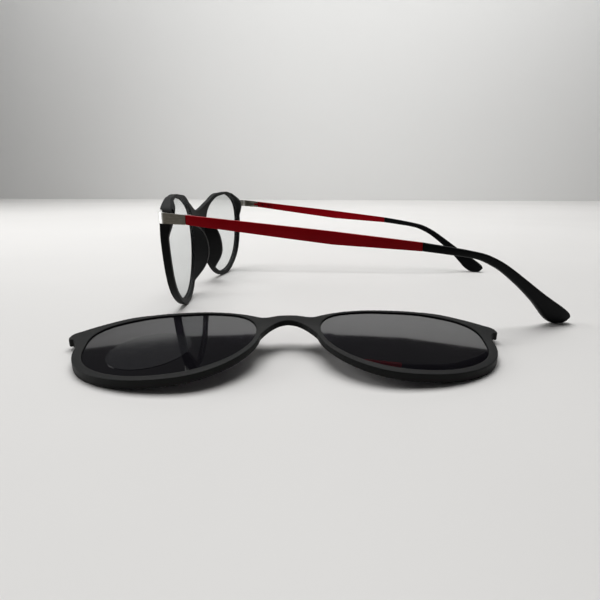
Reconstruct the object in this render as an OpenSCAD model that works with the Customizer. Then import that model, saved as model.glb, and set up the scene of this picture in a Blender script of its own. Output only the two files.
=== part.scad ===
// Eyeglasses with a clip-on sunglass front lying in front of them.
// All sizes in millimetres. The glasses face -X, their temples run back along +X,
// and +Z is up. The origin is on the table, in the middle of the whole set.

/* [Lens and rim] */
// Width of one lens opening
lens_w = 50.0; // [44:0.1:58]
// Height of one lens opening
lens_h = 41.7; // [34:0.1:50]
// Half the distance between the two lens centres
lens_mid = 34.45; // [30:0.05:38]
// Depth of the groove that holds a lens
groove = 0.5; // [0.3:0.05:0.8]
// Clearance of a lens in its groove
lens_clear = 0.05; // [0.02:0.01:0.15]

/* [Glasses front] */
// Thickness of the front, from its face to its back
front_d = 2.1; // [1.8:0.1:4]
// How much the front thickens towards its ends
front_grow = 0.014; // [0:0.001:0.05]
// Where the middle of the bridge stands, front to back
front_x = -6.7; // [-12:0.1:0]
// Height of the lens opening's lowest point over the table
rim_low = 2.15; // [1.9:0.05:6]
// How much the front sweeps back towards the temples
front_slope = 0.117; // [0:0.001:0.25]
// Lean of the front, top forward, in degrees
front_lean = 1.2; // [0:0.1:8]
// Thickness of the clear lenses
demo_t = 1.2; // [0.8:0.1:2.5]
// Underside of the bridge over the lens centres
bridge_under = 9.4; // [4:0.1:14]
// Thickness of a nose pad
pad_t = 2.0; // [1:0.1:3]
// Turn of a nose pad outwards, in degrees
pad_turn = 23; // [0:1:30]

/* [Magnets] */
// Diameter of a magnet
magnet_d = 1.6; // [1.2:0.1:3]
// Thickness of a magnet
magnet_t = 1.05; // [0.5:0.05:2]
// Direction of a magnet from the lens centre, in degrees
magnet_turn = 35; // [25:1:45]
// Wall between a magnet's seat and the lens groove
magnet_wall = 0.4; // [0.3:0.05:1]

/* [Hinge] */
// Where the hinge pin stands, front to back
pin_x = 11.84; // [6:0.02:20]
// Distance of the hinge pin outside the corner of the front
pin_out = 5.95; // [4:0.1:9]
// Distance of the hinge pin inside the temple's outer face
pin_in = 2.76; // [2:0.02:4]
// Middle height of the hinge
pin_z = 37.55; // [30:0.05:45]
// Radius of the hinge knuckles
knuckle_r = 1.15; // [0.9:0.05:2]
// Height of the middle knuckle
knuckle_mid = 1.2; // [0.8:0.1:2]
// Height of each outer knuckle
knuckle_end = 0.9; // [0.6:0.1:2]
// Gap between two knuckles
knuckle_gap = 0.05; // [0.02:0.01:0.2]
// Radius of the hinge screw
screw_r = 0.57; // [0.4:0.01:0.8]
// Radial clearance of the hinge screw
screw_clear = 0.03; // [0.01:0.01:0.1]

/* [Temples] */
// Thickness of a temple
temple_t = 1.6; // [1:0.1:3]
// How much a temple runs in towards the middle, per millimetre
temple_splay = 0.0683; // [0:0.001:0.15]
// Where the sleeve begins and the temple starts to curve in
sleeve_x = 90.47; // [70:0.01:110]
// Inward curve of the sleeve
sleeve_bend = 0.00286; // [0:0.0001:0.006]
// Thickness of the sleeve where it begins
sleeve_t = 2.1; // [1.8:0.1:4]
// Thickness of the sleeve at its end
sleeve_end_t = 2.7; // [1.8:0.1:4]
// How far the temple's tang reaches into the sleeve
tang_l = 15.5; // [10:0.1:16]
// Gap between temple and endpiece when open
seam_gap = 0.1; // [0.05:0.01:0.3]

/* [Clip-on] */
// Thickness of the clip-on at its middle
clip_d = 1.8; // [1.8:0.05:4]
// How much the clip-on thickens towards its ends
clip_grow = 0.018; // [0:0.001:0.05]
// Depth of the end tabs, from the face of the clip-on
tab_d = 2.4; // [1.8:0.1:6]
// How much the clip-on sweeps back at its ends
clip_slope = 0.085; // [0:0.001:0.25]
// Thickness of a sun lens
sun_t = 0.6; // [0.5:0.05:1.5]
// Depth of a sun lens below the face of the rim
sun_in = 0.45; // [0.3:0.05:1.1]
// Underside of the clip-on bridge over its lens centres
clip_bridge_under = 8.1; // [0:0.1:12]
// Diameter of the round label on one sun lens
label_d = 23; // [10:0.5:30]
// Turn of the clip-on on the table, in degrees
clip_turn = 7.5; // [-30:0.1:30]
// Rise of the clip-on towards its upper edge, in degrees
clip_rise = 5.0; // [0:0.1:12]

/* [Hidden] */
loop_n = 90;
table_w = 500;
set_mid = [63.8, -25.2, 0];

// Radius of the lens opening every 30 degrees, from the outer side round by the top.
lens_r = [23.8, 26.8, 23.4, 20.6, 21.7, 24.8, 24.6, 23.5, 22.0, 20.7, 21.0, 22.4];
lens_wide = lens_w / 49.37;
lens_tall = lens_h / 41.73;
// Width of each rim at the same places.
front_rim = [2.0, 2.1, 1.4, 1.4, 2.0, 1.9, 1.8, 1.6, 1.8, 2.4, 1.8, 1.9];
clip_rim = [2.8, 2.3, 2.0, 1.8, 1.4, 1.4, 1.5, 2.0, 2.8, 2.5, 2.3, 2.3];

// Height of the lens centres over the table.
front_z = rim_low + lens_h / 2;

// Outer upper corners, measured from the lens centre at the natural lens size.
corner_out = 26.25;
front_corner = [[8.2, 21.7], [11.4, 21.7], [15.6, 21.2], [19.9, 19.7], [23.2, 18.1], [24.8, 16.8],
    [25.8, 15.2], [corner_out, 12.8], [26, 9], [25, 4], [23.6, 1]];
clip_corner = [[7.6, 22.3], [11.5, 22.7], [16, 22.1], [18.9, 21], [21.7, 19.5], [24.4, 17.8], [26.9, 16],
    [29.2, 14], [30.4, 12.4], [30.7, 10.8], [30.2, 8], [28.3, 5.2], [26.7, 1.5], [24, 0]];
clip_tab = [[27.4, 7.6], [30.7, 7.4], [31.5, 8.3], [31.8, 9.8], [31.7, 11.3], [31, 12.6], [29.7, 13.6],
    [27.4, 14.8]];

// Upper edges of the two bridges, from the middle out to the rim.
front_bridge = [[-3, 14.3], [0, 14.1], [3, 14.3], [6, 15], [9, 15.9], [12, 16.9], [15.5, 18], [19, 19],
    [22, 19.6]];
clip_bridge = [[-2.5, 12.5], [0, 12.6], [2.5, 12.5], [4, 12.2], [5.6, 11.7], [7.2, 11.5], [8.7, 12.2],
    [10.3, 13.4], [12, 14.6], [13.7, 15.7], [17, 17.4], [20, 18.4]];

// Curve of the front in plan: flat halves with a rounded middle.
bow_r = 6;
half_steps = [0, 1.5, 3, 4.5, 6, 8, 10, 13, 75];
plan_steps = concat([for (i = [8:-1:1]) -half_steps[i]], half_steps);

// Side view of a nose pad, back from the face and up from the lens centre.
pad_side = [[-1.2, 7.9], [1.8, 7.9], [4.2, 7.4], [6.8, 5.6], [8.6, 2.6], [9.6, -1.2], [9.8, -4.8], [9.3, -8],
    [8, -11], [6.2, -13.6], [4.5, -15.8], [3.1, -17.8], [2.1, -19.6], [-1.2, -20]];

// Side view of the block behind each upper corner, back from the rim and up from the lens centre.
block_side = [[-6, 1], [0, 3.3], [0.6, 5.7], [1.4, 8.3], [2.2, 10.5], [2.8, 12.8], [2.9, 15], [2.4, 17],
    [1.4, 18.8], [0, 20.6], [-6, 22]];

// Plan of the metal endpiece, outer and inner side.
pin_y = lens_mid + corner_out * lens_wide + pin_out;
temple_y = pin_y + pin_in;
strip_outer = [[face_x(pin_y - 10) - 0.5, pin_y - 10], [face_x(pin_y - 7.2) - 0.57, pin_y - 7.2],
    [pin_x - 10.1, pin_y + 0.2], [pin_x - 9.6, pin_y + 1.5], [pin_x - 8.9, pin_y + 2.5],
    [pin_x - 7.9, pin_y + 3.05], [pin_x - 6.9, pin_y + 3.2]];
strip_inner = [[pin_x - 6.4, pin_y + 1.9], [pin_x - 7.3, pin_y + 1.75], [pin_x - 8.1, pin_y + 1.15],
    [pin_x - 8.6, pin_y + 0.3], [face_x(pin_y - 7.4) + 0.6, pin_y - 7.4],
    [face_x(pin_y - 10) + 0.45, pin_y - 10]];
strip_side = [[front_x, pin_z - 0.8], [pin_x - 10.8, pin_z - 1.05], [pin_x, pin_z - 1.57],
    [pin_x, pin_z + 1.59], [pin_x - 10.8, pin_z + 2.7], [front_x, pin_z + 3]];
strip_end = pin_x - seam_gap / 2;

// Side view of a temple and of its sleeve.
arm_top = [[pin_x + seam_gap / 2, pin_z + 1.59], [43.1, 35.84], [60.6, 33.95], [76.1, 32.09],
    [sleeve_x, 30.34]];
arm_low = [[sleeve_x, 27.4], [76.3, 28.43], [60.6, 29.55], [43, 31.82],
    [pin_x + seam_gap / 2, pin_z - 1.57]];
sleeve_side = [[sleeve_x, 30.34], [100.6, 28.74], [112.4, 26.27], [121.6, 21.49], [134.2, 12.42],
    [142.3, 7.04], [146.3, 4.1], [147.3, 2.4], [146.2, 0.8], [143.6, 0], [141, 0.1], [138.6, 1.3],
    [135.9, 3.6], [129.7, 10.6], [122.1, 17.25], [115, 22], [108.3, 24.8], [102, 25.85], [sleeve_x, 27.4]];

// Place of the clip-on on the table, and the height of its lens centres over that point.
clip_at = [51.71, -117.51, 5.9];
clip_up = 24.14;

function hyp(a, b) = sqrt(a * a + b * b);
function curve(p, q, r, s, t) = 0.5 * (2 * q + (r - p) * t + (2 * p - 5 * q + 4 * r - s) * t * t
    + (3 * q - p - 3 * r + s) * t * t * t);
function round_list(list, a) = let (k = floor(a / 30), t = a / 30 - k)
    curve(list[(k + 11) % 12], list[k % 12], list[(k + 1) % 12], list[(k + 2) % 12], t);
function lens_at(a) = let (b = (a + 360) % 360, r = round_list(lens_r, b))
    [lens_wide * r * cos(b), lens_tall * r * sin(b)];
function lens_out(a, grow) = let (d = lens_at(a + 1) - lens_at(a - 1), n = hyp(d[0], d[1]))
    lens_at(a) + grow / n * [d[1], -d[0]];
function turns(n) = [for (i = [0:n - 1]) i * 360 / n];
function smooth(p, n) = concat([for (i = [0:len(p) - 2], j = [0:n - 1])
    curve(p[max(i - 1, 0)], p[i], p[i + 1], p[min(i + 2, len(p) - 1)], j / n)], [p[len(p) - 1]]);
function bow(l, slope) = slope * (hyp(l, bow_r) - bow_r);
function face_x(l) = front_x + bow(l, front_slope);
function fit_lens(p) = [for (q = p) [lens_mid + lens_wide * q[0], lens_tall * q[1]]];
function magnet_at() = fit_lens([[0, 0]])[0] + lens_out(magnet_turn, groove + magnet_wall + magnet_d / 2);
function sheet(slope, a, b, grow = 0) = concat([for (l = plan_steps) [bow(l, slope) + a, l]],
    [for (i = [len(plan_steps) - 1:-1:0]) [bow(plan_steps[i], slope + grow) + b, plan_steps[i]]]);
function temple_out(x) = temple_y - temple_splay * (x - pin_x)
    - (x > sleeve_x ? sleeve_bend * (x - sleeve_x) * (x - sleeve_x) : 0);
function sleeve_half(x) = (sleeve_t + (sleeve_end_t - sleeve_t) * (x - sleeve_x) / (147.3 - sleeve_x)) / 2;
function half_bridge(top, under) = concat(smooth(top, 3), [[24, 4], [16, -2]],
    [for (u = [8.4:-1.4:0]) [u, under - 0.147 * u * u]]);

module two_sides() {
    children();
    mirror([1, 0, 0]) children();
}

module lens_face(grow) {
    polygon([for (a = turns(loop_n)) lens_out(a, grow)]);
}

module rim_face(width) {
    polygon([for (a = turns(loop_n)) lens_out(a, round_list(width, a))]);
}

// Extrudes an upright face, drawn as across and up, along X.
module along_x(from, to) {
    translate([from, 0, 0]) rotate([90, 0, 90]) linear_extrude(to - from) children();
}

// Extrudes a side view, drawn as back and up, along Y.
module along_y(from, to) {
    translate([0, to, 0]) rotate([90, 0, 0]) linear_extrude(to - from) children();
}

module leaned() {
    translate([front_x, 0, front_z]) rotate([0, -front_lean, 0]) children();
}

module front_sheet(a, b, grow = 0) {
    translate([0, 0, -40]) linear_extrude(80) polygon(sheet(front_slope, a, b, grow));
}

module side_lens(grow) {
    along_x(-5, 20) translate([lens_mid, 0]) lens_face(grow);
}

// Cuts away what lies below the table.
module over_table() {
    difference() {
        children();
        translate([-table_w / 2, -table_w / 2, -table_w]) cube(table_w);
    }
}

module front_disc(r, h) {
    at = magnet_at();
    translate([bow(at[0], front_slope) + front_d - magnet_t, at[0], at[1]])
        rotate([0, 90, 0]) cylinder(r = r, h = h, $fn = 48);
}

module half_pad() {
    intersection() {
        translate([1.2, 9, 0]) rotate([0, 0, pad_turn]) translate([0, -9, 0])
            along_x(-4, 16) translate([lens_mid, 0]) polygon(concat(
                [for (a = [140:5:235]) lens_out(a, 0.3)],
                [for (a = [235:-5:140]) lens_out(a, 0.3 + pad_t)]));
        along_y(0, 30) polygon(smooth(pad_side, 3));
        translate([0, 0, -30]) linear_extrude(60) polygon(sheet(front_slope, 0.3, 16));
    }
}

// The block behind an upper corner, which backs the metal endpiece.
module corner_block() {
    back = bow(57, front_slope) + front_d;
    intersection() {
        along_x(-5, 25) {
            translate([lens_mid, 0]) rim_face(front_rim);
            polygon(fit_lens(smooth(front_corner, 3)));
        }
        front_sheet(0, 12);
        along_y(40, 70) polygon([for (p = block_side) [p[0] + back, p[1]]]);
        translate([0, 0, -5]) linear_extrude(40) polygon([[back - 4, 66], [back + 4, 66], [back + 4, 55],
            [back + 1.6, 52.5], [back - 1, 47.5], [back - 4, 47.5]]);
    }
}

module endpiece_plan() {
    linear_extrude(60) polygon(concat(
        strip_outer, [[strip_end, temple_y + 0.04], [strip_end, temple_y - 1.26]],
        strip_inner));
}

// The seat of the endpiece in the front, open to the face and to the end.
module endpiece_seat() {
    difference() {
        intersection() {
            linear_extrude(60) polygon([[front_x, pin_y - 10 - lens_clear],
                [face_x(pin_y - 10) + 0.45 + lens_clear, pin_y - 10 - lens_clear],
                [face_x(pin_y - 7.4) + 0.6 + lens_clear, pin_y - 7.4],
                [face_x(pin_y - 7.4) + 2, pin_y - 4], [front_x, pin_y - 4]]);
            along_y(pin_y - 14, pin_y) polygon([for (p = strip_side)
                [p[0], p[1] + (p[1] > pin_z ? lens_clear : -lens_clear)]]);
        }
        leaned() along_x(-5, 20) translate([lens_mid, 0]) lens_face(0.9 - lens_clear);
    }
}

module front_half_cuts() {
    leaned() front_disc(magnet_d / 2 + lens_clear, 8);
    endpiece_seat();
}

module front_rims() {
    difference() {
        union() {
            intersection() {
                along_x(-5, 25) {
                    two_sides() translate([lens_mid, 0]) rim_face(front_rim);
                    two_sides() polygon(fit_lens(smooth(front_corner, 3)));
                    two_sides() polygon(half_bridge(front_bridge, bridge_under));
                }
                front_sheet(0, front_d, front_grow);
            }
            corner_block();
            mirror([0, 1, 0]) corner_block();
        }
        side_lens(0);
        mirror([0, 1, 0]) side_lens(0);
    }
}

module front_frame() {
    color([0.09, 0.09, 0.09]) over_table() difference() {
        leaned() difference() {
            union() {
                front_rims();
                half_pad();
                mirror([0, 1, 0]) half_pad();
            }
            intersection() {
                front_sheet((front_d - demo_t) / 2 - lens_clear, (front_d + demo_t) / 2 + lens_clear);
                union() {
                    side_lens(groove);
                    mirror([0, 1, 0]) side_lens(groove);
                }
            }
        }
        front_half_cuts();
        mirror([0, 1, 0]) front_half_cuts();
    }
}

module demo_lens() {
    color([0.85, 0.88, 0.88, 0.3]) leaned() intersection() {
        front_sheet((front_d - demo_t) / 2, (front_d + demo_t) / 2);
        side_lens(groove - lens_clear);
    }
}

module front_magnet() {
    color([0.7, 0.7, 0.72]) leaned() front_disc(magnet_d / 2, magnet_t - 0.15);
}

module end_knuckle(low) {
    translate([pin_x, pin_y, low]) cylinder(r = knuckle_r, h = knuckle_end, $fn = 48);
    translate([0, 0, low]) linear_extrude(knuckle_end) polygon([[pin_x - 4.4, temple_y - 1],
        [strip_end, temple_y - 1], [strip_end, pin_y], [pin_x - 0.9, pin_y - 0.7],
        [pin_x - 3.4, temple_y - 1.8]]);
}

module endpiece() {
    low = pin_z - knuckle_mid / 2 - knuckle_gap - knuckle_end;
    high = pin_z + knuckle_mid / 2 + knuckle_gap;
    color([0.66, 0.64, 0.6]) difference() {
        union() {
            difference() {
                intersection() {
                    endpiece_plan();
                    along_y(pin_y - 14, pin_y + 6) polygon(strip_side);
                }
                leaned() along_x(-5, 20) translate([lens_mid, 0]) lens_face(0.9);
            }
            end_knuckle(low);
            end_knuckle(high);
        }
        translate([pin_x, pin_y, low - 1]) cylinder(r = screw_r + screw_clear, h = 6, $fn = 48);
        translate([pin_x, pin_y, high + knuckle_end - 0.35]) cylinder(r = 0.88, h = 2, $fn = 48);
    }
}

module hinge_screw() {
    low = pin_z - knuckle_mid / 2 - knuckle_gap - knuckle_end;
    high = pin_z + knuckle_mid / 2 + knuckle_gap + knuckle_end;
    color([0.75, 0.75, 0.76]) translate([pin_x, pin_y, 0]) difference() {
        union() {
            translate([0, 0, low]) cylinder(r = screw_r, h = high - low - 0.3, $fn = 48);
            translate([0, 0, high - 0.32]) cylinder(r = 0.85, h = 0.3, $fn = 48);
        }
        translate([-1, -0.1, high - 0.17]) cube([2, 0.2, 1]);
    }
}

// A band of the temple in plan, between two distances in from its outer face.
module temple_band(from, to, a, b) {
    n = 10;
    xs = [for (i = [0:n]) from + (to - from) * i / n];
    translate([0, 0, -1]) linear_extrude(60) polygon(concat(
        [for (x = xs) [x, temple_out(x) - a]], [for (i = [n:-1:0]) [xs[i], temple_out(xs[i]) - b]]));
}

module tang(clear) {
    end = sleeve_x + tang_l + clear;
    intersection() {
        temple_band(sleeve_x - 2, end, 0.4 - clear, temple_t - 0.4 + clear);
        along_y(0, temple_y) polygon([[sleeve_x - 2, 28.1 - clear], [end, 26.3 - clear],
            [end, 27.4 + clear], [sleeve_x - 2, 29.7 + clear]]);
    }
}

// The frame of the hinge leaf: along the temple, out through it, and up.
module leaf_frame() {
    translate([pin_x, temple_y - temple_t, pin_z]) rotate([0, 0, -atan(temple_splay)]) children();
}

module screw_places() {
    for (p = [[4.2, -0.45], [8.0, -0.87]])
        translate([p[0], 0, p[1]]) rotate([-90, 0, 0]) children();
}

module temple() {
    color([0.36, 0.02, 0.05]) difference() {
        union() {
            intersection() {
                temple_band(pin_x + seam_gap / 2, sleeve_x, 0, temple_t);
                along_y(0, temple_y + 1) polygon(concat(arm_top, arm_low));
            }
            tang(0);
        }
        leaf_frame() screw_places() translate([0, 0, -0.5]) cylinder(r = 0.53, h = 1.6, $fn = 32);
    }
}

module temple_hinge() {
    color([0.62, 0.6, 0.57]) difference() {
        union() {
            translate([pin_x, pin_y, pin_z - knuckle_mid / 2])
                cylinder(r = knuckle_r, h = knuckle_mid, $fn = 48);
            translate([0, 0, pin_z - knuckle_mid / 2]) linear_extrude(knuckle_mid) polygon([
                [pin_x, pin_y - 0.9], [pin_x + 0.9, pin_y - 0.7], [pin_x + 2.2, pin_y + 0.3],
                [pin_x + 2.2, pin_y + 0.9], [pin_x + 0.6, pin_y + 0.95], [pin_x, pin_y + 0.6]]);
            leaf_frame() translate([0, -0.02, 0]) rotate([90, 0, 0]) linear_extrude(0.7) polygon([
                [1.4, -1.35], [10.2, -2.3], [10.6, -1.9], [10.6, -0.3], [10.2, 0.1], [1.4, 1.05]]);
        }
        translate([pin_x, pin_y, 30]) cylinder(r = screw_r + screw_clear, h = 12, $fn = 48);
        leaf_frame() screw_places() translate([0, 0, -2]) cylinder(r = 0.53, h = 3, $fn = 32);
    }
}

module temple_screws() {
    color([0.75, 0.75, 0.76]) leaf_frame() screw_places() difference() {
        union() {
            translate([0, 0, -0.72]) cylinder(r = 0.5, h = 1.7, $fn = 32);
            translate([0, 0, -1.02]) cylinder(r = 0.8, h = 0.3, $fn = 32);
        }
        translate([-1, -0.1, -2]) cube([2, 0.2, 1.12]);
    }
}

module temple_tip() {
    n = 12;
    xs = [for (i = [0:n]) sleeve_x + 0.02 + 57.2 * i / n];
    color([0.07, 0.07, 0.075]) over_table() difference() {
        intersection() {
            translate([0, 0, -1]) linear_extrude(60) polygon(concat(
                [for (x = xs) [x, temple_out(x) - temple_t / 2 + sleeve_half(x)]],
                [for (i = [n:-1:0]) [xs[i], temple_out(xs[i]) - temple_t / 2 - sleeve_half(xs[i])]]));
            along_y(0, temple_y) polygon(smooth(sleeve_side, 4));
        }
        tang(0.03);
    }
}

// The clip-on is drawn face up, with its lens centres on the X axis, then laid in place.
module laid() {
    translate(clip_at) rotate([0, 0, clip_turn]) rotate([clip_rise, 0, 0])
        translate([0, clip_up, 0]) children();
}

module clip_sheet(a, b, grow = 0) {
    along_y(-40, 40) polygon([for (p = sheet(clip_slope, a, b, grow)) [p[1], -p[0]]]);
}

module clip_block() {
    translate([0, 0, -16]) linear_extrude(20) children();
}

module clip_disc(r, from, to) {
    at = magnet_at();
    back = bow(at[0], clip_slope + clip_grow) + clip_d;
    translate([at[0], at[1], from - back]) cylinder(r = r, h = to - from, $fn = 48);
}

module clip_half_cuts() {
    clip_block() translate([lens_mid, 0]) lens_face(0);
    intersection() {
        clip_block() translate([lens_mid, 0]) lens_face(groove);
        clip_sheet(sun_in - lens_clear, sun_in + sun_t + lens_clear);
    }
    clip_disc(magnet_d / 2 + lens_clear, -3, magnet_t);
}

module clip_frame() {
    color([0.09, 0.09, 0.09]) over_table() laid() difference() {
        union() {
            intersection() {
                clip_block() {
                    two_sides() translate([lens_mid, 0]) rim_face(clip_rim);
                    two_sides() polygon(fit_lens(smooth(clip_corner, 2)));
                    two_sides() polygon(half_bridge(clip_bridge, clip_bridge_under));
                }
                clip_sheet(0, clip_d, clip_grow);
            }
            intersection() {
                clip_block() two_sides() polygon(fit_lens(smooth(clip_tab, 2)));
                clip_sheet(0, tab_d);
            }
        }
        clip_half_cuts();
        mirror([1, 0, 0]) clip_half_cuts();
    }
}

module clip_lens() {
    intersection() {
        clip_block() translate([lens_mid, 0]) lens_face(groove - lens_clear);
        clip_sheet(sun_in, sun_in + sun_t);
    }
}

module clip_lens_left() {
    color([0.2, 0.2, 0.21, 0.8]) laid() clip_lens();
}

module clip_lens_right() {
    color([0.2, 0.2, 0.21, 0.8]) laid() mirror([1, 0, 0]) clip_lens();
}

module clip_magnet() {
    clip_disc(magnet_d / 2, 0.15, magnet_t);
}

module clip_magnet_left() {
    color([0.7, 0.7, 0.72]) laid() clip_magnet();
}

module clip_magnet_right() {
    color([0.7, 0.7, 0.72]) laid() mirror([1, 0, 0]) clip_magnet();
}

module lens_label() {
    color([0.88, 0.89, 0.9, 0.3]) laid() intersection() {
        translate([-38.8, -4.7, -12]) cylinder(r = label_d / 2, h = 20, $fn = 96);
        clip_sheet(sun_in - 0.1, sun_in);
    }
}

module right() {
    translate(-set_mid) children();
}

module left() {
    translate(-set_mid) mirror([0, 1, 0]) children();
}

right() front_frame();
left() demo_lens();  // demo_lens_left
right() demo_lens();  // demo_lens_right
left() front_magnet();  // front_magnet_left
right() front_magnet();  // front_magnet_right
left() endpiece();  // endpiece_left
right() endpiece();  // endpiece_right
left() hinge_screw();  // hinge_screw_left
right() hinge_screw();  // hinge_screw_right
left() temple();  // temple_left
right() temple();  // temple_right
left() temple_hinge();  // temple_hinge_left
right() temple_hinge();  // temple_hinge_right
left() temple_screws();  // temple_screws_left
right() temple_screws();  // temple_screws_right
left() temple_tip();  // temple_tip_left
right() temple_tip();  // temple_tip_right
right() clip_frame();
right() clip_lens_left();
right() clip_lens_right();
right() clip_magnet_left();
right() clip_magnet_right();
right() lens_label();
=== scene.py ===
import math

import bmesh
import bpy
from mathutils import Matrix, Vector


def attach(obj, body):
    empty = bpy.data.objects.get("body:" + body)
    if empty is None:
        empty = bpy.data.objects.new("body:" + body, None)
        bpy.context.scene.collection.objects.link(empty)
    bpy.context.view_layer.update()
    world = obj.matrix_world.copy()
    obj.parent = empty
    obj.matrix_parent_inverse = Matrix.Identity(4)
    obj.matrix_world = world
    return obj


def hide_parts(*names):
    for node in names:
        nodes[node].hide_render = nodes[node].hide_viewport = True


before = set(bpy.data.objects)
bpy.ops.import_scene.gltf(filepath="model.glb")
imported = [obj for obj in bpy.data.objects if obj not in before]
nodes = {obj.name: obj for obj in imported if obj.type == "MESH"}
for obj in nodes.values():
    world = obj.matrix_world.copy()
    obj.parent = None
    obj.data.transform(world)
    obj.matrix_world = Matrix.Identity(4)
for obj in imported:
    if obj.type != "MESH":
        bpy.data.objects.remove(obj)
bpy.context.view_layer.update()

# Sizes, in mm in the glasses' own frame

MM = 0.001
SET_MID = Vector((63.8, -25.2, 0))
# Where the hinge pin stands, front to back
PIN_X = 11.84
# The temple's outer face at the pin, how much it runs in per mm, and its thickness
TEMPLE_Y = 69.765
TEMPLE_SPLAY = 0.0683
TEMPLE_T = 1.6
# Where the sleeve begins, its inward curve, and its thickness at both ends
SLEEVE_X = 90.47
SLEEVE_BEND = 0.00286
SLEEVE_T = 2.1
SLEEVE_END_T = 2.7
# Length over which the sleeve thickens
SLEEVE_GROWS = 56.8

# The temple's upper and lower edge, seen from the side, as in part.scad
ARM_TOP = [(11.89, 39.14), (43.1, 35.84), (60.6, 33.95), (76.1, 32.09), (90.47, 30.34)]
ARM_LOW = [(11.89, 35.98), (43.0, 31.82), (60.6, 29.55), (76.3, 28.43), (90.47, 27.4)]
# Places of the arm's sections, and how far a section is drawn in at the two ends
ARM_FIRST = [(11.90, 0.14), (11.93, 0.06), (12.04, 0)]
ARM_ALONG = [(x, 0) for x in (20, 31, 43, 50, 56, 59.5, 60.6, 61.8, 66, 71, 75, 76.2, 78, 84)]
ARM_LAST = [(90.3, 0), (90.42, 0.06), (90.45, 0.14)]
# Radius of the arm's long edges, and its least radius at the drawn-in ends
ARM_EDGE = 0.22
ARM_EDGE_LEAST = 0.06

# Pairs of points along the sleeve's upper and lower edge, near its outline in part.scad
SLEEVE = [(90.47, 30.36, 90.47, 27.38), (95.5, 29.56, 95.3, 26.76), (100.6, 28.74, 100.2, 26.08),
          (107, 27.55, 105.6, 25.3), (112.4, 26.27, 110.2, 24.2), (117.4, 24.05, 115, 22.0),
          (121.6, 21.49, 119, 19.5), (127.9, 17.0, 125.2, 14.5), (134.2, 12.42, 130.8, 9.3),
          (138.5, 9.5, 134, 5.8), (142.3, 7.04, 136.9, 2.6), (144.9, 5.2, 139.7, 0.62),
          (146.3, 3.95, 142.0, 0.08), (146.9, 3.0, 144.2, 0.16), (147.1, 2.3, 145.6, 0.6)]
# Sections of the sleeve from one pair to the next, and steps round each of its edges
SLEEVE_STEPS = 4
SLEEVE_EDGE_STEPS = 6
# The sleeve's mouth: how far it is drawn in, the radius of its edges, and its length
SLEEVE_MOUTH = 0.2
SLEEVE_MOUTH_R = 0.3
SLEEVE_MOUTH_L = 0.08
# Radius of the sleeve's edges, as a share of its smaller half size
SLEEVE_EDGE = 0.75
# Shares of the thickness in the last sections, from the end back
SLEEVE_CLOSES = (0.45, 0.68, 0.82, 0.92, 0.98)

# The endpiece's corner turns between these places, front to back, and across them its colour fades into a
# painted highlight
GLINT_BACK = 4.7
GLINT_FRONT = 3.9
# Width of the bevel on its edges, and the turn in degrees from which an edge gets one
ENDPIECE_EDGE = 0.12
ENDPIECE_EDGE_FROM = 35

# Grid size and smoothing of the moulded fronts
MOULD_GRID = 0.15
MOULD_ROUNDS = 12

# An edge that turns by more degrees than this is shaded sharp
SHARP_FROM = 40
# Largest radius in a rounded section, as a share of its half sizes
ROUND_MOST = 0.98


def row(x, y, z):
    """A point of the glasses' own frame, in mm, as a point of the row frame, in metres."""
    return (Vector((x, y, z)) - SET_MID) * MM


def lerp(a, b, t):
    return a + (b - a) * t


def catmull(p, q, r, s, t):
    square, cube = 2 * p - 5 * q + 4 * r - s, 3 * q - p - 3 * r + s
    return 0.5 * (2 * q + (r - p) * t + square * t * t + cube * t ** 3)


def smooth_list(rows, steps):
    """Catmull-Rom through a list of tuples, with this many steps a span."""
    out = []
    for i in range(len(rows) - 1):
        p, q, r, s = (rows[max(i - 1, 0)], rows[i], rows[i + 1], rows[min(i + 2, len(rows) - 1)])
        for j in range(steps):
            out.append(tuple(catmull(a, b, c, d, j / steps) for a, b, c, d in zip(p, q, r, s)))
    out.append(tuple(rows[-1]))
    return out


# Node helpers for the materials


def new_material(name):
    mat = bpy.data.materials.new(name)
    mat.use_nodes = True
    return mat, mat.node_tree, mat.node_tree.nodes["Principled BSDF"]


def object_place(tree, scale=(1, 1, 1)):
    coords = tree.nodes.new("ShaderNodeTexCoord")
    mapping = tree.nodes.new("ShaderNodeMapping")
    mapping.inputs["Scale"].default_value = scale
    tree.links.new(coords.outputs["Object"], mapping.inputs["Vector"])
    return mapping.outputs["Vector"]


def noise(tree, where, scale, detail, rough=0.55):
    node = tree.nodes.new("ShaderNodeTexNoise")
    node.inputs["Scale"].default_value = scale
    node.inputs["Detail"].default_value = detail
    node.inputs["Roughness"].default_value = rough
    tree.links.new(where, node.inputs["Vector"])
    return node.outputs["Fac"]


def ramp(tree, value, *stops):
    """A colour that goes with a value between two stops, each a place and a colour."""
    node = tree.nodes.new("ShaderNodeValToRGB")
    for element, (place_on_ramp, colour) in zip(node.color_ramp.elements, stops):
        element.position = place_on_ramp
        element.color = (*colour, 1)
    tree.links.new(value, node.inputs["Fac"])
    return node.outputs["Color"]


def to_range(tree, value, low, high):
    node = tree.nodes.new("ShaderNodeMapRange")
    node.inputs["To Min"].default_value = low
    node.inputs["To Max"].default_value = high
    tree.links.new(value, node.inputs["Value"])
    return node.outputs["Result"]


def bump(tree, shader, height, strength, distance):
    node = tree.nodes.new("ShaderNodeBump")
    node.inputs["Strength"].default_value = strength
    node.inputs["Distance"].default_value = distance
    tree.links.new(height, node.inputs["Height"])
    tree.links.new(node.outputs["Normal"], shader.inputs["Normal"])


def mix_colour(tree, share, first, second):
    """From the first colour, an output, to the second, a plain colour."""
    node = tree.nodes.new("ShaderNodeMix")
    node.data_type = "RGBA"
    tree.links.new(share, node.inputs["Factor"])
    tree.links.new(first, node.inputs["A"])
    node.inputs["B"].default_value = (*second, 1)
    return node.outputs["Result"]


# Materials


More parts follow.
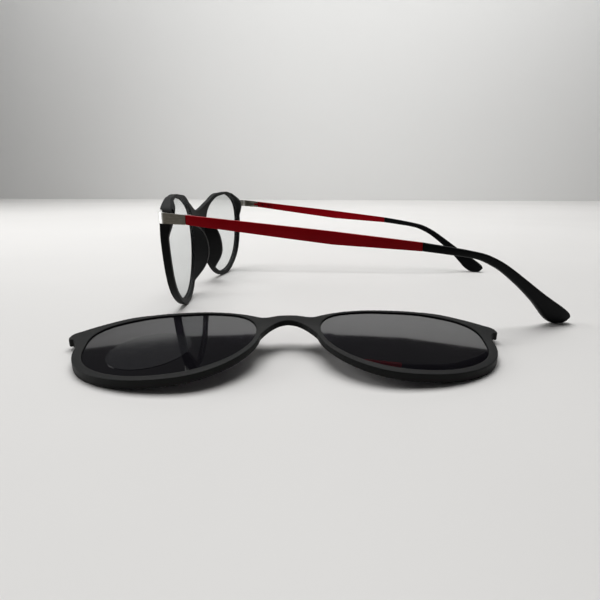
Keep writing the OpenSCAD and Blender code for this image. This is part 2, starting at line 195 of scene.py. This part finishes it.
def matte_plastic(name, dark, light, rough, grain, sheen):
    """Moulded plastic, a little mottled, with a fine grain."""
    mat, tree, shader = new_material(name)
    shader.inputs["Specular IOR Level"].default_value = sheen
    where = object_place(tree)
    mottled = noise(tree, where, scale=90, detail=4)
    tree.links.new(ramp(tree, mottled, (0.3, dark), (0.75, light)), shader.inputs["Base Color"])
    fine = noise(tree, where, scale=grain, detail=2, rough=0.6)
    worn = noise(tree, where, scale=260, detail=3)
    tree.links.new(to_range(tree, worn, rough - 0.05, rough + 0.06), shader.inputs["Roughness"])
    bump(tree, shader, fine, strength=0.22, distance=0.00006)
    return mat


def brush_lines(tree, stretch):
    return noise(tree, object_place(tree, stretch), scale=900, detail=3, rough=0.5)


def brushed_metal(name, dark, light, rough, stretch):
    mat, tree, shader = new_material(name)
    shader.inputs["Metallic"].default_value = 1.0
    lines = brush_lines(tree, stretch)
    tree.links.new(ramp(tree, lines, (0.35, dark), (0.7, light)), shader.inputs["Base Color"])
    tree.links.new(to_range(tree, lines, rough - 0.06, rough + 0.08), shader.inputs["Roughness"])
    bump(tree, shader, lines, strength=0.12, distance=0.00003)
    return mat


def endpiece_metal():
    """Satin plating, darkened as painted shade on its flat sides, with a painted highlight on the turned
    front corner.
    """
    mat, tree, shader = new_material("endpiece_shade_and_glint")
    shader.inputs["Metallic"].default_value = 1.0
    lines = brush_lines(tree, (1, 1, 7))
    # Painted shade: the satin tone is kept dark for the shade on the flat sides.
    shaded_satin = ramp(tree, lines, (0.35, (0.19, 0.175, 0.14)), (0.7, (0.27, 0.25, 0.21)))
    # Painted highlight: across the turned front corner the colour goes near white.
    split = tree.nodes.new("ShaderNodeSeparateXYZ")
    tree.links.new(object_place(tree), split.inputs["Vector"])
    corner = tree.nodes.new("ShaderNodeMapRange")
    corner.interpolation_type = "SMOOTHSTEP"
    corner.inputs["From Min"].default_value = row(GLINT_BACK, 0, 0).x
    corner.inputs["From Max"].default_value = row(GLINT_FRONT, 0, 0).x
    tree.links.new(split.outputs["X"], corner.inputs["Value"])
    satin_and_glint = mix_colour(tree, corner.outputs["Result"], shaded_satin, (0.95, 0.96, 0.93))
    tree.links.new(satin_and_glint, shader.inputs["Base Color"])
    tree.links.new(to_range(tree, lines, 0.26, 0.4), shader.inputs["Roughness"])
    bump(tree, shader, lines, strength=0.12, distance=0.00003)
    return mat


def red_paint(name, dark, light):
    """Satin paint with a fine flake."""
    mat, tree, shader = new_material(name)
    where = object_place(tree)
    flake = noise(tree, where, scale=2600, detail=2)
    cloud = noise(tree, where, scale=45, detail=3)
    tree.links.new(ramp(tree, cloud, (0.3, dark), (0.75, light)), shader.inputs["Base Color"])
    tree.links.new(to_range(tree, flake, 0.3, 0.42), shader.inputs["Roughness"])
    shader.inputs["Specular IOR Level"].default_value = 0.06
    bump(tree, shader, flake, strength=0.1, distance=0.00003)
    return mat


def clear_lens():
    """A thin coated lens: it lets most through, and less at a slant, where the dimming is painted shade,
    with a faint even sheen.
    """
    mat, tree, shader = new_material("clear_lens")
    where = object_place(tree)
    shader.inputs["Specular IOR Level"].default_value = 0.5
    shader.inputs["Base Color"].default_value = (0.9, 0.92, 0.93, 1)
    haze = noise(tree, where, scale=300, detail=4)
    tree.links.new(to_range(tree, haze, 0.02, 0.08), shader.inputs["Roughness"])
    clear = tree.nodes.new("ShaderNodeBsdfTransparent")
    cloud = noise(tree, where, scale=25, detail=2)
    through = ramp(tree, cloud, (0.3, (0.94, 0.95, 0.95)), (0.8, (0.965, 0.97, 0.97)))
    # Painted shade: the lens lets through less the more it is seen at a slant.
    slant = tree.nodes.new("ShaderNodeLayerWeight")
    painted_slant_shade = mix_colour(tree, slant.outputs["Facing"], through, (0.85, 0.86, 0.86))
    tree.links.new(painted_slant_shade, clear.inputs["Color"])
    coated = tree.nodes.new("ShaderNodeMixShader")
    coated.inputs["Fac"].default_value = 0.035
    tree.links.new(clear.outputs["BSDF"], coated.inputs[1])
    tree.links.new(shader.outputs["BSDF"], coated.inputs[2])
    tree.links.new(coated.outputs["Shader"], tree.nodes["Material Output"].inputs["Surface"])
    return mat


def sun_lens():
    """A dark smoke-grey lens."""
    mat, tree, shader = new_material("sun_lens")
    shader.inputs["Transmission Weight"].default_value = 0.75
    shader.inputs["IOR"].default_value = 1.52
    where = object_place(tree)
    cloud = noise(tree, where, scale=20, detail=2)
    smoke = ramp(tree, cloud, (0.3, (0.016, 0.015, 0.02)), (0.8, (0.024, 0.022, 0.028)))
    tree.links.new(smoke, shader.inputs["Base Color"])
    polish = noise(tree, where, scale=220, detail=4)
    tree.links.new(to_range(tree, polish, 0.015, 0.05), shader.inputs["Roughness"])
    bump(tree, shader, noise(tree, where, scale=60, detail=2), strength=0.05, distance=0.00003)
    return mat


def label_film():
    """The glossy film of the round label."""
    mat, tree, shader = new_material("label_film")
    where = object_place(tree)
    cloud = noise(tree, where, scale=500, detail=3)
    film = ramp(tree, cloud, (0.3, (0.012, 0.012, 0.014)), (0.8, (0.018, 0.018, 0.02)))
    tree.links.new(film, shader.inputs["Base Color"])
    polish = noise(tree, where, scale=400, detail=3)
    tree.links.new(to_range(tree, polish, 0.05, 0.09), shader.inputs["Roughness"])
    return mat


BLACK = matte_plastic("front_matte", dark=(0.0055, 0.006, 0.0062), light=(0.009, 0.0095, 0.0095),
                      rough=0.55, grain=5200, sheen=0.09)
CLIP = matte_plastic("clip_matte", dark=(0.0065, 0.007, 0.007), light=(0.0105, 0.011, 0.0105),
                     rough=0.55, grain=5200, sheen=0.12)
TIP = matte_plastic("tip_matte", dark=(0.0035, 0.0038, 0.0045), light=(0.006, 0.0062, 0.007),
                    rough=0.42, grain=4200, sheen=0.08)
RED = red_paint("temple_red", dark=(0.33, 0.001, 0.0055), light=(0.42, 0.0014, 0.0085))
# The endpiece's plating, with painted shade on its flat sides and a painted highlight on its corner
SILVER_SHADE_GLINT = endpiece_metal()
HINGE = red_paint("hinge_paint", dark=(0.24, 0.0012, 0.005), light=(0.31, 0.0016, 0.008))
SUNK = red_paint("screw_paint", dark=(0.1, 0.002, 0.006), light=(0.15, 0.004, 0.01))
STEEL = brushed_metal("screw_steel", dark=(0.5, 0.5, 0.5), light=(0.62, 0.62, 0.62),
                      rough=0.3, stretch=(4, 4, 1))
MAGNET = brushed_metal("magnet_plate", dark=(0.55, 0.55, 0.56), light=(0.66, 0.66, 0.67),
                       rough=0.25, stretch=(3, 3, 3))
CLEAR = clear_lens()
SUN = sun_lens()
FILM = label_film()

# Pieces


def link(piece):
    bpy.context.scene.collection.objects.link(piece)


def paint(piece, mat):
    piece.data.materials.clear()
    piece.data.materials.append(mat)


def finish_mesh(name, bm, mat):
    """An object from a bmesh, smooth except at its sharp edges."""
    bmesh.ops.recalc_face_normals(bm, faces=bm.faces)
    mesh = bpy.data.meshes.new(name)
    bm.to_mesh(mesh)
    bm.free()
    mesh.materials.append(mat)
    piece = bpy.data.objects.new(name, mesh)
    link(piece)
    for face in mesh.polygons:
        face.use_smooth = True
    mesh.set_sharp_from_angle(angle=math.radians(SHARP_FROM))
    return piece


def place(piece, body, node):
    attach(piece, body)
    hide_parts(node)


def softened(name, node, mat):
    """The node's form with moulded, rounded edges."""
    piece = bpy.data.objects.new(name, nodes[node].data.copy())
    link(piece)
    remesh = piece.modifiers.new("remesh", "REMESH")
    remesh.mode = "VOXEL"
    remesh.voxel_size = MOULD_GRID * MM
    smooth = piece.modifiers.new("smooth", "SMOOTH")
    smooth.factor = 0.5
    smooth.iterations = MOULD_ROUNDS
    graph = bpy.context.evaluated_depsgraph_get()
    mesh = bpy.data.meshes.new_from_object(piece.evaluated_get(graph))
    piece.modifiers.clear()
    piece.data = mesh
    paint(piece, mat)
    for face in mesh.polygons:
        face.use_smooth = True
    return piece


def rounded_ring(c, u, v, a, b, r, steps=4):
    """Points round a rounded rectangle at c, half sizes a along u and b along v, radius r."""
    r = min(r, a * ROUND_MOST, b * ROUND_MOST)
    out = []
    for k, (su, sv) in enumerate(((1, 1), (-1, 1), (-1, -1), (1, -1))):
        for i in range(steps + 1):
            t = math.radians(90 * (k + i / steps))
            out.append(c + u * (su * (a - r) + r * math.cos(t)) + v * (sv * (b - r) + r * math.sin(t)))
    return out


def loft(name, rings, mat):
    """A closed skin over rings that have as many points each."""
    bm = bmesh.new()
    loops = [[bm.verts.new(p) for p in ring] for ring in rings]
    n = len(loops[0])
    for a, b in zip(loops, loops[1:]):
        for i in range(n):
            bm.faces.new((a[i], a[(i + 1) % n], b[(i + 1) % n], b[i]))
    bm.faces.new(loops[0])
    bm.faces.new(loops[-1])
    return finish_mesh(name, bm, mat)


def temple_mid(x):
    """How far the middle of a temple's thickness stands from the middle of the glasses."""
    bend = SLEEVE_BEND * (x - SLEEVE_X) ** 2 if x > SLEEVE_X else 0
    return TEMPLE_Y - TEMPLE_SPLAY * (x - PIN_X) - bend - TEMPLE_T / 2


def edge_at(points, x):
    """Height at x of a line through points."""
    for (xa, za), (xb, zb) in zip(points, points[1:]):
        if x <= xb:
            return lerp(za, zb, (x - xa) / (xb - xa))
    return points[-1][1]


def temple_arm(side, name):
    """The red arm: a flat bar with a small radius on its long edges."""
    rings = []
    across, upright = Vector((0, side, 0)), Vector((0, 0, 1))
    for x, inset in ARM_FIRST + ARM_ALONG + ARM_LAST:
        top, low = edge_at(ARM_TOP, x), edge_at(ARM_LOW, x)
        c = row(x, side * temple_mid(x), (top + low) / 2)
        half_t, half_h = TEMPLE_T / 2 - inset, (top - low) / 2 - inset
        radius = max(ARM_EDGE - inset, ARM_EDGE_LEAST)
        rings.append(rounded_ring(c, across, upright, half_t * MM, half_h * MM, radius * MM))
    return loft(name, rings, RED)


def temple_sleeve(side, name):
    """The black sleeve: a bar that bends down behind the ear and ends in a paddle."""
    rings = []
    sections = smooth_list(SLEEVE, SLEEVE_STEPS)
    for k, (x_top, z_top, x_low, z_low) in enumerate(sections):
        x = (x_top + x_low) / 2
        half_t = lerp(SLEEVE_T / 2, SLEEVE_END_T / 2, min(1, (x - SLEEVE_X) / SLEEVE_GROWS))
        c = row(x, side * temple_mid(x), (z_top + z_low) / 2)
        v = row(x_top, 0, z_top) - row(x_low, 0, z_low)
        half_h = v.length / 2
        v.normalize()
        turn = -TEMPLE_SPLAY - 2 * SLEEVE_BEND * max(0, x - SLEEVE_X)
        u = Vector((-turn, 1, 0)).normalized()
        u.y *= side
        if k == 0:
            rings.append(rounded_ring(c, u, v, (half_t - SLEEVE_MOUTH) * MM, half_h - SLEEVE_MOUTH * MM,
                                      SLEEVE_MOUTH_R * MM, SLEEVE_EDGE_STEPS))
            c = c + Vector((SLEEVE_MOUTH_L * MM, 0, 0))
        to_end = len(sections) - 1 - k
        if to_end < len(SLEEVE_CLOSES):
            half_t *= SLEEVE_CLOSES[to_end]
        radius = SLEEVE_EDGE * min(half_t, half_h / MM)
        rings.append(rounded_ring(c, u, v, half_t * MM, half_h, radius * MM, SLEEVE_EDGE_STEPS))
    return loft(name, rings, TIP)


def round_edges(piece):
    edges = piece.modifiers.new("edges", "BEVEL")
    edges.width = ENDPIECE_EDGE * MM
    edges.segments = 2
    edges.angle_limit = math.radians(ENDPIECE_EDGE_FROM)


place(softened("front_moulded", "front_frame", BLACK), "glasses_front", "front_frame")
place(softened("clip_moulded", "clip_frame", CLIP), "clip_on", "clip_frame")

for side, word in ((-1, "left"), (1, "right")):
    body = word + "_temple"
    place(temple_arm(side, "temple_bar_" + word), body, "temple_" + word)
    place(temple_sleeve(side, "temple_sleeve_" + word), body, "temple_tip_" + word)
    for node, mat in (("endpiece_", SILVER_SHADE_GLINT), ("hinge_screw_", STEEL), ("temple_hinge_", HINGE),
                      ("temple_screws_", SUNK), ("front_magnet_", MAGNET), ("clip_magnet_", MAGNET),
                      ("demo_lens_", CLEAR), ("clip_lens_", SUN)):
        paint(nodes[node + word], mat)
    round_edges(nodes["endpiece_" + word])
paint(nodes["lens_label"], FILM)

# Stage, in metres in the row frame

TABLE = [(-1.6, -1.0, 0), (1.6, -1.0, 0), (1.6, 1.5, 0), (-1.6, 1.5, 0)]
# The wall stands at the table's far edge. The sun lenses mirror it in their pale upper part, so its
# top line sets how far down that part goes.
WALL_Y = 1.5
WALL = [(-3, -0.4), (3, -0.4), (3, 0.7), (0.75, 0.718), (0.4, 0.742), (0.1, 0.795), (-0.4, 0.85),
        (-0.75, 0.82), (-3, 0.86)]


def table_material():
    mat, tree, shader = new_material("table_top")
    cloud = noise(tree, object_place(tree), scale=3, detail=4)
    top = ramp(tree, cloud, (0.3, (0.70, 0.69, 0.675)), (0.75, (0.75, 0.74, 0.725)))
    tree.links.new(top, shader.inputs["Base Color"])
    shader.inputs["Roughness"].default_value = 0.6
    return mat


def wall_material():
    mat, tree, shader = new_material("backdrop")
    shader.inputs["Base Color"].default_value = (0.8, 0.8, 0.79, 1)
    shader.inputs["Roughness"].default_value = 1.0
    return mat


def plane(name, corners, mat):
    bm = bmesh.new()
    bm.faces.new([bm.verts.new(c) for c in corners])
    finish_mesh(name, bm, mat)


plane("table", TABLE, table_material())
plane("wall", [(x, WALL_Y, z) for x, z in WALL], wall_material())

# Light


def area(name, at, aim, size, power):
    """A soft rectangular lamp at one point that shines towards another."""
    lamp = bpy.data.lights.new(name, "AREA")
    lamp.shape = "RECTANGLE"
    lamp.size, lamp.size_y = size
    lamp.energy = power
    holder = bpy.data.objects.new(name, lamp)
    holder.location = at
    holder.rotation_mode = "QUATERNION"
    holder.rotation_quaternion = (Vector(aim) - Vector(at)).to_track_quat("-Z", "Y")
    link(holder)


area("top_soft", at=(-0.15, 0.35, 1.15), aim=(0, 0, 0), size=(1.1, 0.8), power=13.2)
area("left_soft", at=(-0.95, 0.1, 0.45), aim=(0, 0, 0.02), size=(0.5, 0.5), power=3)
area("wall_wash", at=(0, 0.95, 1.3), aim=(0, 1.5, 0.3), size=(2.4, 0.3), power=14)
# A weak strip, low on the left, that shines back from the turned corner of the near endpiece
area("corner_glint", at=(-0.549, -0.143, 0.03), aim=(-0.06, -0.0448, 0.0382), size=(0.16, 0.05), power=0.08)

# The camera sees pale surroundings, but they light the set only a little and look dark in metal and glass
SKY_LIGHT = 0.05
SKY_SEEN = 0.6
world = bpy.data.worlds.new("world")
world.use_nodes = True
sky = world.node_tree.nodes["Background"]
sky.inputs["Color"].default_value = (1, 1, 0.99, 1)
path = world.node_tree.nodes.new("ShaderNodeLightPath")
sky_strength = to_range(world.node_tree, path.outputs["Is Camera Ray"], SKY_LIGHT, SKY_SEEN)
world.node_tree.links.new(sky_strength, sky.inputs["Strength"])
bpy.context.scene.world = world
bpy.context.scene.view_settings.view_transform = "Standard"

# Camera, fitted to the photograph

PICTURE = 600
SENSOR = 36
# Focal length in pixels of the picture, and the shift of its middle in pixels
FOCAL = 457.18
SHIFT = -1
# The eye in the glasses' own frame, in mm, its heading over the table, and its pitch and roll
EYE = (61.507, -219.077, 48.543)
HEADING = (-0.0775, 0.997)
PITCH = math.radians(13.88)
ROLL = 0.00205

camera = bpy.data.cameras.new("camera")
camera.sensor_width = SENSOR
camera.lens = FOCAL * SENSOR / PICTURE
camera.shift_y = SHIFT / PICTURE
camera.clip_start, camera.clip_end = 0.01, 20
camera_holder = bpy.data.objects.new("camera", camera)
link(camera_holder)
level = math.cos(PITCH)
ahead = Vector((HEADING[0] * level, HEADING[1] * level, -math.sin(PITCH))).normalized()
flat = ahead.cross(Vector((0, 0, 1))).normalized()
up = flat.cross(ahead)
right_rolled = flat * math.cos(ROLL) + up * math.sin(ROLL)
up_rolled = up * math.cos(ROLL) - flat * math.sin(ROLL)
turned = Matrix((right_rolled, up_rolled, -ahead)).transposed().to_4x4()
camera_holder.matrix_world = Matrix.Translation(row(*EYE)) @ turned
bpy.context.scene.camera = camera_holder
